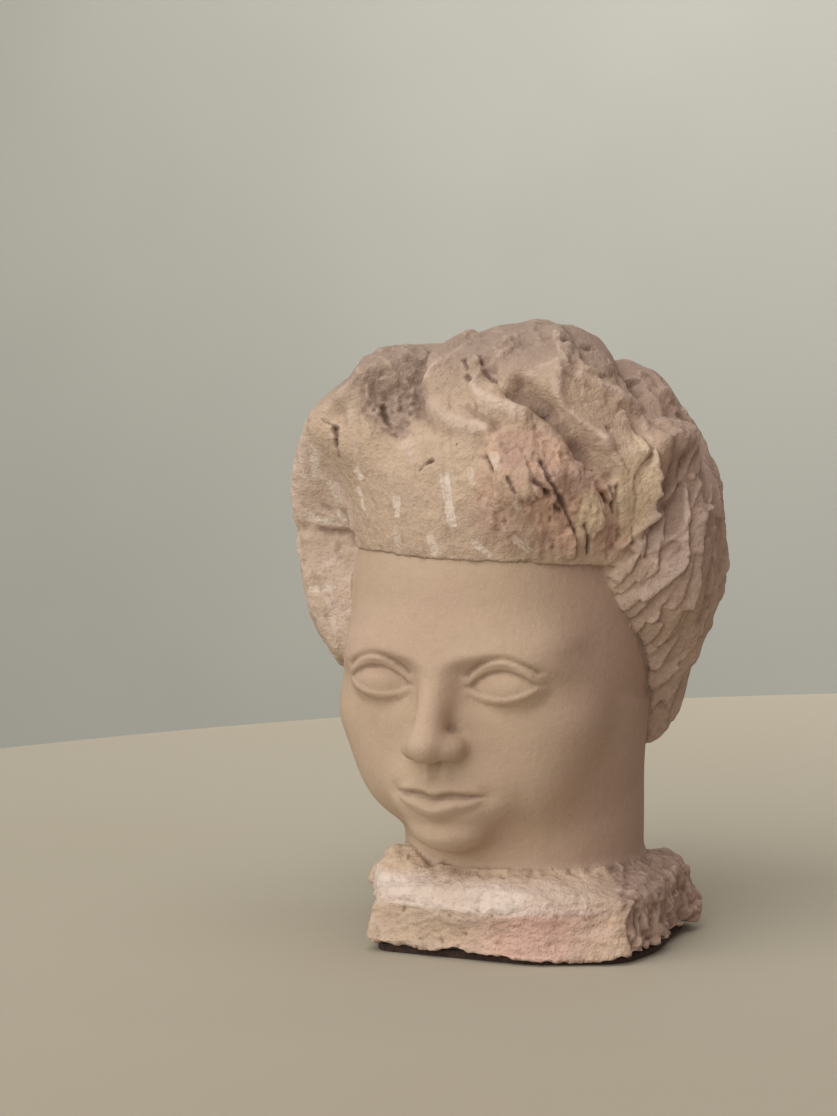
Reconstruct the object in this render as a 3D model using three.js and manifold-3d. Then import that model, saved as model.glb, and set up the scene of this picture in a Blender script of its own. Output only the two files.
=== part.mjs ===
import {
  BoxGeometry, BufferAttribute, BufferGeometry, Color, ExtrudeGeometry, Group, IcosahedronGeometry,
  Mesh, MeshStandardMaterial, Shape, Vector2, Vector3,
} from "three";
import { mergeVertices } from "three/addons/utils/BufferGeometryUtils.js";
import Module from "manifold-3d";

// Millimetres, Z up, front towards -Y. The origin lies on the table under the head's axis.

// Pad under the stone, cut to the outline of the block a little inside its edge
const PAD_THICK = 2.7;
const PAD_INSET = 3.5;
const PAD_CORNER = 8;
const PAD_CORNER_STEPS = 4;

// Block at the foot of the bust
const UNDERSIDE = 3;
const BLOCK_TOP = 27.5;
const BLOCK_CENTRE = [12, -9, 14];
const BLOCK_LEAN = 4;
const BLOCK_EDGE = 5;
const BLOCK_SIDES = [
  { name: "front left", facing: -94.5, out: 68 },
  { name: "front right", facing: -69.4, out: 75 },
  { name: "right front", facing: -20.8, out: 80 },
  { name: "right", facing: -2, out: 75 },
  { name: "back right", facing: 35.5, out: 75.8 },
  { name: "back", facing: 90, out: 54 },
  { name: "back left", facing: 143, out: 57 },
  { name: "left", facing: 179, out: 46.5 },
];
const SHOULDER = { at: [5, -4, 22.5], half: [67, 70, 19], soft: 8 };
const LEFT_LEDGE = { at: [-39, -36, 29], half: [13, 18, 12], soft: 6 };
const RIGHT_CORNER = { at: [66, 14, 27], half: [12, 18, 8.5], soft: 4 };
const RIGHT_POINT = { at: [72, 18, 11], half: [13, 14, 8], soft: 6 };

// Neck
const NECK_CENTRE = [4, 4];
const NECK_HALF = [54, 56];
const NECK_TOP = 103;
const NECK_FOOT = 9;

// Face, on the rule of three equal parts between chin and hairline
const CHIN = 40;
const HAIRLINE = 167;
const THIRD = (HAIRLINE - CHIN) / 3;
const NOSE_BASE = CHIN + THIRD;
const BROW = CHIN + 2 * THIRD;
const EYE = BROW - 9.5;
const MOUTH = NOSE_BASE - 0.36 * THIRD;
const EYE_OUT = 28.5;
const EYE_HALF = 14.5;
const MOUTH_HALF = 21;
const LID = 1.7;
const LIP = 2.6;
const HEAD_TURN = 7;
const HEAD_AXIS = [-5, 2, 3.5];

// Hair
const HAIR_CENTRE = [-2, 8, 181.5];
const HAIR_HALF = [93, 97, 84];
const HAIR_DROP = 118;
const HAIR_LEDGE = 2.5;
const HAIR_ROLL = 9;
const HAIR_EDGE = 4;
const NAPE = 77;
const LOCK_RADIUS = 95;
const WAVE_COUNT = 18;
const WAVE_HEIGHT = 2.6;
const GOUGE_PITCH = 13;
const GOUGE_HEIGHT = 1.8;

// Mesh
const HEAD_DETAIL = 19;
const HEAD_CENTRE = [0, 4, 148.5];
const FACE_FROM_CENTRE = [-0.15, -1, -0.42];
const FACE_CROWDING = 0.56;
const BLOCK_STEPS = [13, 13, 4];
const REACH = 190;
const TOLERANCE = 0.01;
const CAUTION = 0.6;

const rad = (degrees) => (degrees * Math.PI) / 180;
const clamp = (x, low, high) => Math.min(high, Math.max(low, x));
const ramp = (from, to, x) => {
  const t = clamp((x - from) / (to - from), 0, 1);
  return t * t * (3 - 2 * t);
};
const bell = (x, width) => Math.exp(-((x / width) ** 2));
const soften = (x, round) => Math.sqrt(x * x + round * round);

// Distance to solids: below zero inside, above zero outside
const join = (a, b, soft) => {
  const h = clamp(0.5 + (0.5 * (b - a)) / soft, 0, 1);
  return b * (1 - h) + a * h - soft * h * (1 - h);
};
const keep = (a, b, soft) => -join(-a, -b, soft);
const cut = (a, b, soft) => -join(-a, b, soft);

const ellipsoid = (p, at, half) => {
  const q = p.map((v, i) => (v - at[i]) / half[i]);
  const near = Math.hypot(...q);
  const slope = Math.hypot(q[0] / half[0], q[1] / half[1], q[2] / half[2]);
  return (near * (near - 1)) / Math.max(slope, 1e-9);
};

const squared = (p, at, half, corner) => {
  const q = p.map((v, i) => Math.abs(v - at[i]) - half[i] + corner);
  const outside = Math.hypot(...q.map((v) => Math.max(v, 0)));
  return outside + Math.min(Math.max(...q), 0) - corner;
};

const capsule = (p, from, to, radii, flat) => {
  const scale = [1, flat, 1];
  const q = p.map((v, i) => (v - from[i]) * scale[i]);
  const run = to.map((v, i) => (v - from[i]) * scale[i]);
  const length2 = run[0] ** 2 + run[1] ** 2 + run[2] ** 2;
  const t = clamp((q[0] * run[0] + q[1] * run[1] + q[2] * run[2]) / length2, 0, 1);
  const gap = Math.hypot(...q.map((v, i) => v - run[i] * t));
  return gap - radii[0] - (radii[1] - radii[0]) * t;
};

// The bare head: skull, jaw, cheekbones, brow, eyes, nose and mouth
function skull([x, y, z]) {
  const p = [x, y, z];
  const side = [soften(x, 1), y, z];
  const wide = [soften(x, 7), y, z];
  let d = ellipsoid(p, [0, 8, 150], [69, 84, 78]);
  d = join(d, ellipsoid(p, [0, -12, 108], [62, 63, 62]), 18);
  d = join(d, ellipsoid(p, [0, -25, 76], [49, 44, 37]), 18);
  d = join(d, ellipsoid(side, [40, -6, 84], [18, 26, 24]), 18);
  d = join(d, ellipsoid(p, [0, -62, CHIN + 13], [17, 13.5, 12]), 12);
  d = join(d, ellipsoid(side, [36, -42, 99], [22, 19, 19]), 18);
  d = join(d, ellipsoid(side, [28, -38, 76], [20, 22, 20]), 14);
  d = join(d, ellipsoid(wide, [21, -57, BROW + 3], [27, 16, 9]), 18);
  d = cut(d, ellipsoid(side, [EYE_OUT - 1, -84, EYE - 0.5], [20, 13, 12]), 9);
  d = join(d, ellipsoid(side, [EYE_OUT, -61.5, EYE - 0.5], [16.5, 13, 11.5]), 3);
  d = join(d, capsule(p, [0, -71, BROW], [0, -86, NOSE_BASE + 9], [6, 6.6], 0.85), 8);
  d = join(d, ellipsoid(p, [0, -86.5, NOSE_BASE + 7.5], [7.6, 8.2, 6.6]), 5);
  d = join(d, ellipsoid(side, [8.6, -78.5, NOSE_BASE + 6], [5.4, 9, 5.4]), 5);
  return join(d, ellipsoid(p, [0, -61, MOUTH + 1], [25, 15, 16]), 11);
}

// Heights laid over the bare head, in millimetres
function lids(x, z) {
  const u = (x - EYE_OUT) / EYE_HALF;
  const arch = clamp(1 - u * u, 0, 1);
  const top = EYE + 0.8 * u + 6.3 * arch;
  const bottom = EYE + 0.8 * u - 4.6 * arch;
  const upper = ramp(-0.4, 1.6, z - top) * ramp(5.6, 3, z - top);
  const lower = ramp(-0.4, 1.8, bottom - z) * ramp(5, 2.2, bottom - z);
  return (LID * Math.max(upper, 0.6 * lower) - 0.8 * bell(z - top - 5.6, 1.5))
    * ramp(1.35, 0.8, Math.abs(u));
}

function lips(x, z) {
  const u = clamp(Math.abs(x) / MOUTH_HALF, 0, 1.6);
  const parting = MOUTH - bell(x, 4.5) + 0.8 * bell(Math.abs(x) - 8, 7) + 0.7 * u * u;
  const full = clamp(1 - u * u, 0, 1);
  const up = (z - parting) / (1.5 + 6.2 * full);
  const down = (parting - z) / (1.5 + 7.4 * full);
  return 0.8 * LIP * full * ramp(0, 0.5, up) * ramp(1.3, 0.5, up)
    + LIP * full * ramp(0, 0.6, down) * ramp(1.4, 0.6, down)
    - 1.2 * bell(Math.abs(x) - MOUTH_HALF, 5) * bell(z - parting, 5)
    - 2.2 * bell(z - MOUTH + 13, 5) * bell(x, 16);
}

function brow(x, z) {
  const u = (x - 26) / 24;
  const arch = BROW + 3 - 5.5 * u * u - u;
  return 1.4 * bell(z - arch, 3.6) * ramp(1.35, 0.4, Math.abs(u));
}

function face(p, bare) {
  const [x, y, z] = p;
  const relief = ramp(-30, -52, y) * (lids(Math.abs(x), z) + brow(Math.abs(x), z));
  const mouth = ramp(-50, -58, y) * lips(x, z);
  const nostril = ellipsoid([Math.abs(x), y, z], [5.4, -82, NOSE_BASE + 0.2], [2.6, 4.6, 2.8]);
  return cut(bare - relief - mouth, nostril, 1.4);
}

// Big masses of the hair: centre, half sizes and how softly each joins the rest
const HAIR_MASSES = {
  crown: { at: [13, -8, 228.5], half: [47, 58, 45], soft: 10 },
  upperRight: { at: [52, 5, 226], half: [23, 34, 27], soft: 4 },
  chunk: { at: [65, -20, 200], half: [28, 32, 31], soft: 5 },
  rightSide: { at: [67, 26, 169.5], half: [20, 46, 30], soft: 8 },
  rightLow: { at: [54, 24, 119], half: [16, 38, 35], soft: 7 },
  leftSide: { at: [-58, -22, 199.5], half: [36, 50, 46], soft: 15 },
  leftLow: { at: [-57, -6, 161.5], half: [36.5, 46, 37], soft: 12 },
};

// Carved locks and hollows of the crown. Angles are degrees round and up from the hair's centre.
const LOCKS = {
  firstCurl: { from: [-13, 63], by: [-17, 41], to: [4, 29], proud: 4.2, wide: 7.5 },
  outsideCurl: { from: [-30, 62], by: [-19, 38], to: [-7, 27], proud: -5, wide: 7.5 },
  secondCurl: { from: [10, 55], by: [-2, 42], to: [17, 32], proud: 4.2, wide: 7.5 },
  betweenCurls: { from: [-8, 47], by: [1, 36], to: [9, 30], proud: -3, wide: 7.5 },
  valley: { from: [16, 40], by: [29, 31], to: [40, 20], proud: -5, wide: 7.5 },
  valleyRidge: { from: [28, 46], by: [30, 33], to: [41, 26], proud: 4, wide: 7.5 },
  crownRidge: { from: [35, 62], by: [37, 44], to: [54, 36], proud: 3.8, wide: 7.5 },
  notch: { from: [122, 52], by: [84, 59], to: [54, 28], proud: -4.2, wide: 9 },
  breakage: { from: [34, 23], by: [39, 12], to: [43, 0], proud: -5, wide: 8 },
  besideChunk: { from: [54, 28], by: [52, 13], to: [49, 0], proud: -4, wide: 7.5 },
  sweptRidge: { from: [80, 30], by: [66, 14], to: [46, -2], proud: 4, wide: 7.5 },
  underRidge: { from: [93, 25], by: [72, 8], to: [54, -8], proud: -3.5, wide: 7.5 },
  pit: { from: [-42, 30], by: [-37, 23], to: [-37, 16], proud: -4, wide: 7.5 },
  roughHollow: { from: [-21, 40], by: [-19, 31], to: [-16, 24], proud: -4, wide: 9 },
};

const onSphere = ([round, up]) => new Vector3(
  Math.sin(rad(round)) * Math.cos(rad(up)), -Math.cos(rad(round)) * Math.cos(rad(up)), Math.sin(rad(up)));

const lockPaths = Object.values(LOCKS).map(({ from, by, to, proud, wide }) => {
  const [a, m, b] = [from, by, to].map(onSphere);
  const bend = m.clone().multiplyScalar(2).addScaledVector(a, -0.5).addScaledVector(b, -0.5);
  const path = [];
  for (let i = 0; i <= 5; i++) {
    const t = i / 5;
    path.push(new Vector3().addScaledVector(a, (1 - t) ** 2).addScaledVector(bend, 2 * t * (1 - t))
      .addScaledVector(b, t * t).normalize());
  }
  return { path, proud, wide };
});

function locks(direction) {
  let height = 0;
  for (const { path, proud, wide } of lockPaths) {
    let near = 9;
    for (let i = 1; i < path.length; i++) {
      const run = path[i].clone().sub(path[i - 1]);
      const off = direction.clone().sub(path[i - 1]);
      const t = clamp(off.dot(run) / run.lengthSq(), 0, 1);
      near = Math.min(near, off.addScaledVector(run, -t).length());
    }
    height += proud * bell(near * LOCK_RADIUS, wide);
  }
  return height;
}

// Wavy locks laid from the crown down the sides and the back
function waves(direction) {
  const round = (Math.atan2(direction.x, -direction.y) * 180) / Math.PI;
  const up = (Math.asin(clamp(direction.z, -1, 1)) * 180) / Math.PI;
  const sway = 10 * Math.sin(rad(up * 3.2)) + 7 * Math.sin(rad(up * 1.4 + 40));
  return WAVE_HEIGHT * Math.cos(rad(round + sway) * WAVE_COUNT)
    * ramp(70, 100, Math.abs(round - 8)) * ramp(82, 60, up);
}

// Slanting gouges below the temple on the right
function gouges([x, y, z]) {
  const across = z - 0.62 * (0.9 * x + 0.43 * y);
  return GOUGE_HEIGHT * Math.cos((2 * Math.PI * across) / GOUGE_PITCH)
    * ramp(34, 50, x) * ramp(176, 162, z) * ramp(70, 40, y);
}

// How far a point lies below the top of the face's opening and before its sides
function opening([x, y, z]) {
  const top = HAIRLINE + 3 - 2 * bell(x - 10, 30) - 0.0016 * Math.max(x, 0) ** 2;
  const left = -41 + 84 * ramp(126, 88, z) + 0.75 * Math.min(x + 56, 0);
  const right = 24 - 58 * Math.exp(-((Math.max(HAIRLINE + 1 - z, 0) / 48) ** 2.2));
  return [top - z, left + (right - left) * ramp(-20, 20, x) - y];
}

// The squared mass above the left temple, its upper and outer corners sliced off on the slant
function upperLeft(p) {
  const [x, y, z] = p;
  let d = squared(p, [-40, -28, 234], [38, 34, 28.5], 5);
  d = keep(d, -0.705 * x - 0.189 * y + 0.68 * z - 220.3, 2.5);
  d = keep(d, -0.8 * x - 0.6 * y - 92.5, 8);
  return keep(d, 0.83 * z - 0.56 * y - 244.5, 5);
}

// How thick the hair may be near the opening: it starts as a ledge and swells away from it, and
// rounds the left temple in one sweep
function thickness([x], below, before) {
  const up = Math.max(-below, 0);
  const rise = 0.5 + 0.15 * ramp(5, 40, x) + 0.12 * ramp(-16, -70, x);
  const over = Math.max(up - 13 - 0.8 * Math.max(x - 42, 0), 0);
  const bulge = 0.035 * over * over * ramp(18, 42, x)
    + 0.01 * Math.max(up - 16, 0) ** 2 * ramp(-16, -50, x);
  const front = rise * up + bulge + Math.min(-below, 0);
  const atLeft = ramp(-16, -46, x);
  const started = before - 0.68 * (Math.hypot(up, 5) - 5) * atLeft;
  const back = (0.55 * ramp(-20, 20, x) - 1.6) * started;
  const apart = keep(front, back, 14);
  const swept = Math.hypot(Math.max(front, 0), Math.max(back, 0));
  return HAIR_LEDGE + Math.max(apart + (swept - apart) * atLeft, 0);
}

function hair(p, local, skin) {
  const [x, y, z] = p;
  const half = [HAIR_HALF[0], HAIR_HALF[1], z > HAIR_CENTRE[2] ? HAIR_HALF[2] : HAIR_DROP];
  let d = join(ellipsoid(p, HAIR_CENTRE, half), upperLeft(p), 10);
  for (const { at, half: size, soft } of Object.values(HAIR_MASSES)) {
    d = join(d, ellipsoid(p, at, size), soft);
  }
  const direction = new Vector3(...p.map((v, i) => v - HAIR_CENTRE[i])).normalize();
  d -= locks(direction) + waves(direction) + gouges(p);
  const [below, before] = opening(local);
  d = keep(d, skin - thickness(local, below, before), HAIR_ROLL);
  d = keep(d, Math.min(below, 0.75 * before), HAIR_EDGE);
  return keep(d, NAPE + 0.06 * y - z, 10);
}

function neck([x, y, z]) {
  const round = Math.hypot((x - NECK_CENTRE[0]) / NECK_HALF[0], (y - NECK_CENTRE[1]) / NECK_HALF[1]);
  return Math.max((round - 1) * NECK_HALF[0], z - NECK_TOP, NECK_FOOT - z);
}

function head(p) {
  const turn = rad(HEAD_TURN);
  const [x, y, z] = p.map((v, i) => v - HEAD_AXIS[i]);
  const local = [
    x * Math.cos(turn) - y * Math.sin(turn), x * Math.sin(turn) + y * Math.cos(turn), z];
  const [bare, throat] = [skull(local), neck(p)];
  const flesh = join(face(local, bare), throat, 10);
  return join(flesh, hair(p, local, join(bare, throat, 10)), 3);
}

function block(p) {
  const [x, y, z] = p;
  const lean = (BLOCK_LEAN * (z - BLOCK_CENTRE[2])) / (BLOCK_TOP - UNDERSIDE);
  let d = -1000;
  for (const { facing, out } of BLOCK_SIDES) {
    const side = x * Math.cos(rad(facing)) + y * Math.sin(rad(facing)) - out + lean;
    d = keep(d, side, BLOCK_EDGE);
  }
  d = keep(d, z - BLOCK_TOP, BLOCK_EDGE);
  for (const { at, half, soft } of [SHOULDER, LEFT_LEDGE, RIGHT_CORNER, RIGHT_POINT]) {
    d = join(d, ellipsoid(p, at, half), soft);
  }
  return Math.max(d, UNDERSIDE - z);
}

// Moves every vertex along its line from the centre until it lies on the form
function wrap(geometry, centre, form) {
  const place = geometry.getAttribute("position");
  const ray = new Vector3();
  for (let i = 0; i < place.count; i++) {
    ray.fromBufferAttribute(place, i).normalize();
    let reach = REACH;
    for (let step = 0; step < 150; step++) {
      const gap = form(centre.map((v, k) => v + ray.getComponent(k) * reach));
      if (Math.abs(gap) < TOLERANCE) break;
      reach -= CAUTION * gap;
    }
    place.setXYZ(i, ...centre.map((v, k) => v + ray.getComponent(k) * reach));
  }
  return geometry;
}

// A sphere whose facets crowd together around the line to the face
function crowdedSphere(detail) {
  const geometry = new IcosahedronGeometry(1, detail);
  const place = geometry.getAttribute("position");
  const axis = new Vector3(...FACE_FROM_CENTRE).normalize();
  const ray = new Vector3();
  for (let i = 0; i < place.count; i++) {
    ray.fromBufferAttribute(place, i);
    const angle = ray.angleTo(axis);
    const aside = ray.addScaledVector(axis, -ray.dot(axis)).normalize();
    const closer = angle - FACE_CROWDING * Math.sin(angle);
    aside.multiplyScalar(Math.sin(closer)).addScaledVector(axis, Math.cos(closer));
    place.setXYZ(i, aside.x, aside.y, aside.z);
  }
  return geometry;
}

function blockGeometry() {
  const size = [126, 124, 2 * (BLOCK_CENTRE[2] - UNDERSIDE)];
  const geometry = wrap(new BoxGeometry(...size, ...BLOCK_STEPS), BLOCK_CENTRE, block);
  const place = geometry.getAttribute("position");
  for (let i = 0; i < place.count; i++) {
    if (place.getZ(i) < UNDERSIDE + 0.2) place.setZ(i, UNDERSIDE);
  }
  return geometry;
}

const manifold = await Module();
manifold.setup();

function solidOf(geometry) {
  const plain = geometry.clone();
  plain.deleteAttribute("normal");
  plain.deleteAttribute("uv");
  const welded = mergeVertices(plain, 1e-4);
  const mesh = new manifold.Mesh({
    numProp: 3,
    vertProperties: new Float32Array(welded.getAttribute("position").array),
    triVerts: new Uint32Array(welded.getIndex().array),
  });
  return new manifold.Manifold(mesh);
}

function geometryOf(solid) {
  const mesh = solid.getMesh();
  const geometry = new BufferGeometry();
  geometry.setAttribute("position", new BufferAttribute(Float32Array.from(mesh.vertProperties), 3));
  geometry.setIndex(new BufferAttribute(Uint32Array.from(mesh.triVerts), 1));
  geometry.computeVertexNormals();
  return geometry;
}

// Where two neighbouring sides of the block's outline meet, at its underside and set in
function blockCorner(one, other, inset) {
  const lean = (BLOCK_LEAN * (UNDERSIDE - BLOCK_CENTRE[2])) / (BLOCK_TOP - UNDERSIDE);
  const [a, b] = [rad(one.facing), rad(other.facing)];
  const [p, q] = [one.out - lean - inset, other.out - lean - inset];
  const across = Math.sin(b - a);
  return new Vector2(
    (p * Math.sin(b) - q * Math.sin(a)) / across, (q * Math.cos(a) - p * Math.cos(b)) / across);
}

function padGeometry() {
  const corners = BLOCK_SIDES.map((side, i) => {
    return blockCorner(side, BLOCK_SIDES[(i + 1) % BLOCK_SIDES.length], PAD_INSET);
  });
  const outline = new Shape();
  corners.forEach((corner, i) => {
    const before = corners[(i + corners.length - 1) % corners.length];
    const after = corners[(i + 1) % corners.length];
    const [enter, leave] = [before, after].map((next) => {
      const reach = Math.min(PAD_CORNER, 0.4 * corner.distanceTo(next));
      return next.clone().sub(corner).setLength(reach).add(corner);
    });
    if (i === 0) outline.moveTo(enter.x, enter.y);
    else outline.lineTo(enter.x, enter.y);
    outline.quadraticCurveTo(corner.x, corner.y, leave.x, leave.y);
  });
  outline.closePath();
  return new ExtrudeGeometry(outline, {
    depth: PAD_THICK, bevelEnabled: false, curveSegments: PAD_CORNER_STEPS,
  });
}

const headGeometry = wrap(crowdedSphere(HEAD_DETAIL), HEAD_CENTRE, head);
const bust = solidOf(headGeometry).add(solidOf(blockGeometry()));

const stone = new MeshStandardMaterial({ color: new Color("#b89a80"), roughness: 0.85 });
const felt = new MeshStandardMaterial({ color: new Color("#2a1a12"), roughness: 0.95 });

const part = new Group();
part.name = "stone_bust_set";
const stoneMesh = new Mesh(geometryOf(bust), stone);
stoneMesh.name = "stone_bust";
const padMesh = new Mesh(padGeometry(), felt);
padMesh.name = "felt_pad";
part.add(stoneMesh, padMesh);

export default part;
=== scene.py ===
import bpy
import numpy as np
from math import cos, pi, radians, sin
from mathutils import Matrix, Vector, kdtree, noise


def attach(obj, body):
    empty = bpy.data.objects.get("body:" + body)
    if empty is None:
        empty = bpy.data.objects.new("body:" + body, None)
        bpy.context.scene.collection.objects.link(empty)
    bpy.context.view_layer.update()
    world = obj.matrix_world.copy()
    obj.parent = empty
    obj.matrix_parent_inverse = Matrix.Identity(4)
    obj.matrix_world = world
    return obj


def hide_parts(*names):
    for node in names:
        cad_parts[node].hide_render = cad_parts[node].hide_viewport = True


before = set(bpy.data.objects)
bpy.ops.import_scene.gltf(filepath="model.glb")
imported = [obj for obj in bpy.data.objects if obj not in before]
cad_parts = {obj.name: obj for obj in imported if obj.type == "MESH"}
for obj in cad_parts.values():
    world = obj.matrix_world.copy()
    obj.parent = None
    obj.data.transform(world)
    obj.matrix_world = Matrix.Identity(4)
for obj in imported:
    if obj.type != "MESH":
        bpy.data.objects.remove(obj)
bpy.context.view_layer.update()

# The bust is one block of fine-grained beige stone: a head with heavy carved hair, a short neck and
# a rough squared foot left from the block. It was roughed out with a point, the hair was cut with
# flat chisels and left as cut, and only the face was rubbed smooth.

# The form is worked out in millimetres, as a distance from the surface: below zero inside the stone.


def ramp(low, high, x):
    """0 below low and 1 above high, with soft ends."""
    t = np.clip((x - low) / (high - low), 0, 1)
    return t * t * (3 - 2 * t)


def bell(x, width):
    return np.exp(-((x / width) ** 2))


def length(v):
    return np.sqrt((v * v).sum(-1))


def join(a, b, soft):
    """Two masses grown together, with a fillet of the given size."""
    h = np.clip(0.5 + 0.5 * (b - a) / soft, 0, 1)
    return b * (1 - h) + a * h - soft * h * (1 - h)


def keep(a, b, soft):
    """What two masses have in common, with the edge rounded off."""
    return -join(-a, -b, soft)


def ellipsoid(p, centre, half):
    half = np.array(half, float)
    q = (p - np.array(centre, float)) / half
    near = length(q)
    return near * (near - 1) / np.maximum(length(q / half), 1e-9)


def squared(p, centre, half, corner):
    """A block with round corners."""
    q = np.abs(p - np.array(centre, float)) - np.array(half, float) + corner
    return length(np.maximum(q, 0)) + np.minimum(q.max(1), 0) - corner


def capsule(p, start, end, r0, r1, flat):
    """A rod with round ends, thicker at one end than at the other."""
    scale = np.array([1, flat, 1.0])
    run = (np.array(end) - np.array(start)) * scale
    q = (p - np.array(start)) * scale
    t = np.clip(q @ run / (run @ run), 0, 1)
    return length(q - t[:, None] * run) - r0 - (r1 - r0) * t


def both_sides(p, soft):
    """Points folded onto the right half, so that one mass makes a pair."""
    q = p.copy()
    q[:, 0] = np.sqrt(q[:, 0] ** 2 + soft * soft)
    return q


# The bare head, built up as a modeller would: skull, jaw, cheekbones, brow, eyeballs, nose, mouth.
# Chin, base of the nose, brow and hairline are three equal parts of the face.
CHIN = 40.0
HAIRLINE = 167.0
THIRD = (HAIRLINE - CHIN) / 3
NOSE_BASE = CHIN + THIRD
BROW = CHIN + 2 * THIRD
EYE = BROW - 9.5
EYE_OUT = 28.5
EYE_HALF = 14.5
MOUTH = NOSE_BASE - 0.36 * THIRD
MOUTH_HALF = 21.0


def bare_head(p):
    side, wide = both_sides(p, 1.0), both_sides(p, 7.0)
    d = ellipsoid(p, (0, 8, 150), (69, 84, 78))
    d = join(d, ellipsoid(p, (0, -12, 108), (62, 63, 62)), 18)
    d = join(d, ellipsoid(p, (0, -25, 76), (49, 44, 37)), 18)
    d = join(d, ellipsoid(side, (40, -6, 84), (18, 26, 24)), 18)
    d = join(d, ellipsoid(p, (0, -62, CHIN + 13), (17, 13.5, 12)), 12)
    d = join(d, ellipsoid(side, (36, -42, 99), (22, 19, 19)), 18)
    d = join(d, ellipsoid(side, (28, -38, 76), (20, 22, 20)), 14)
    d = join(d, ellipsoid(wide, (21, -57, BROW + 3), (27, 16, 9)), 18)
    d = -join(-d, ellipsoid(side, (EYE_OUT - 1, -84, EYE - 0.5), (20, 13, 12)), 9)
    d = join(d, ellipsoid(side, (EYE_OUT, -61.5, EYE - 0.5), (16.5, 13, 11.5)), 3)
    d = join(d, capsule(p, (0, -71, BROW), (0, -86, NOSE_BASE + 9), 6.0, 6.6, 0.85), 8)
    d = join(d, ellipsoid(p, (0, -86.5, NOSE_BASE + 7.5), (7.6, 8.2, 6.6)), 5)
    d = join(d, ellipsoid(side, (8.6, -78.5, NOSE_BASE + 6), (5.4, 9, 5.4)), 5)
    return join(d, ellipsoid(p, (0, -61, MOUTH + 1), (25, 15, 16)), 11)


def lids(x, z):
    u = (x - EYE_OUT) / EYE_HALF
    arch = np.clip(1 - u * u, 0, 1)
    top = EYE + 0.8 * u + 6.3 * arch
    bottom = EYE + 0.8 * u - 4.6 * arch
    upper = ramp(-0.4, 1.4, z - top) * ramp(5.6, 3.0, z - top)
    lower = ramp(-0.4, 1.6, bottom - z) * ramp(5.0, 2.2, bottom - z)
    crease = bell(z - top - 5.6, 1.5)
    return (np.maximum(1.7 * upper, 1.0 * lower) - 0.8 * crease) * ramp(1.35, 0.8, np.abs(u))


def lips(x, z):
    u = np.clip(np.abs(x) / MOUTH_HALF, 0, 1.6)
    parting = MOUTH - bell(x, 4.5) + 0.8 * bell(np.abs(x) - 8, 7) + 0.7 * u * u
    full = np.clip(1 - u * u, 0, 1)
    up = (z - parting) / (1.5 + 6.2 * full * (1 - 0.12 * bell(x, 3.5)))
    down = (parting - z) / (1.5 + 7.4 * full)
    height = 2.6 * full * ramp(0, 0.45, up) * ramp(1.25, 0.45, up)
    height += 3.2 * full * ramp(0, 0.55, down) * ramp(1.35, 0.5, down)
    height -= 1.2 * bell(z - parting, 1.3) * ramp(1.1, 0.7, u)
    height -= 1.2 * bell(np.abs(x) - MOUTH_HALF, 4) * bell(z - parting, 4)
    height -= 2.2 * bell(z - MOUTH + 13, 4.2) * bell(x, 15)
    under_nose = ramp(MOUTH + 5, MOUTH + 9, z) * ramp(NOSE_BASE + 2, NOSE_BASE - 2, z)
    return height + (0.7 * bell(np.abs(x) - 4.2, 2.0) - 0.8 * bell(x, 2.8)) * under_nose


def brows(x, z):
    u = (x - 26) / 24
    arch = BROW + 3 - 5.5 * u * u - u
    return 1.4 * bell(z - arch, 3.6) * ramp(1.35, 0.4, np.abs(u))


def face(p, bare):
    x, z = np.abs(p[:, 0]), p[:, 2]
    d = bare - ramp(-30, -52, p[:, 1]) * (lids(x, z) + brows(x, z))
    d = d - ramp(-50, -58, p[:, 1]) * lips(p[:, 0], z)
    nostril = ellipsoid(both_sides(p, 0), (5.4, -82, NOSE_BASE + 0.2), (2.6, 4.6, 2.8))
    return -join(-d, nostril, 1.4)


# Big masses of the hair, then the locks cut into them. A mass is given by its centre, its half sizes
# and how softly it is joined on. A lock is given by its start, middle and end in degrees round and up
# from the hair's centre, its height and its half width in millimetres.
HAIR_CENTRE = np.array([-2.0, 8.0, 181.5])
HAIR_RADIUS = 95.0
HAIR_MASSES = (
    ((13, -8, 228.5), (47, 58, 45), 10),
    ((52, 5, 226), (23, 34, 27), 4),
    ((65, -20, 200), (28, 32, 31), 5),
    ((67, 26, 169.5), (20, 46, 30), 8),
    ((54, 24, 119), (16, 38, 35), 7),
    ((-58, -22, 199.5), (36, 50, 46), 15),
    ((-57, -6, 161.5), (36.5, 46, 37), 12),
)
LOCKS = (
    ((-13, 63), (-17, 41), (4, 29), 4.5, 4.5),
    ((-25, 54), (-19, 38), (-7, 27), -5.0, 5.0),
    ((10, 55), (-2, 42), (17, 32), 4.2, 4.5),
    ((-8, 47), (1, 36), (9, 30), -3.0, 4.0),
    ((16, 40), (29, 31), (42, 16), -6.5, 5.0),
    ((31, 46), (28, 35), (41, 25), 4.0, 4.2),
    ((37, 61), (38, 46), (56, 37), 3.6, 4.2),
    ((122, 52), (88, 60), (66, 42), -6.5, 5.0),
    ((34, 23), (39, 12), (43, 0), -5.0, 7.0),
    ((54, 28), (55, 13), (52, 0), -4.0, 5.5),
    ((80, 30), (62, 13), (46, -2), 3.6, 4.5),
    ((93, 25), (72, 8), (54, -8), -3.5, 5.0),
    ((-41, 30), (-37, 23), (-36, 17), -4.0, 3.4),
    ((-23, 40), (-19, 31), (-16, 24), -3.6, 9.0),
)


def around(p):
    """Directions from the hair's centre to the points."""
    q = p - HAIR_CENTRE
    return q / length(q)[:, None]


def at(lon, lat):
    """The direction so many degrees round from the front and up."""
    a, b = radians(lon), radians(lat)
    return np.array([sin(a) * cos(b), -cos(a) * cos(b), sin(b)])


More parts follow.
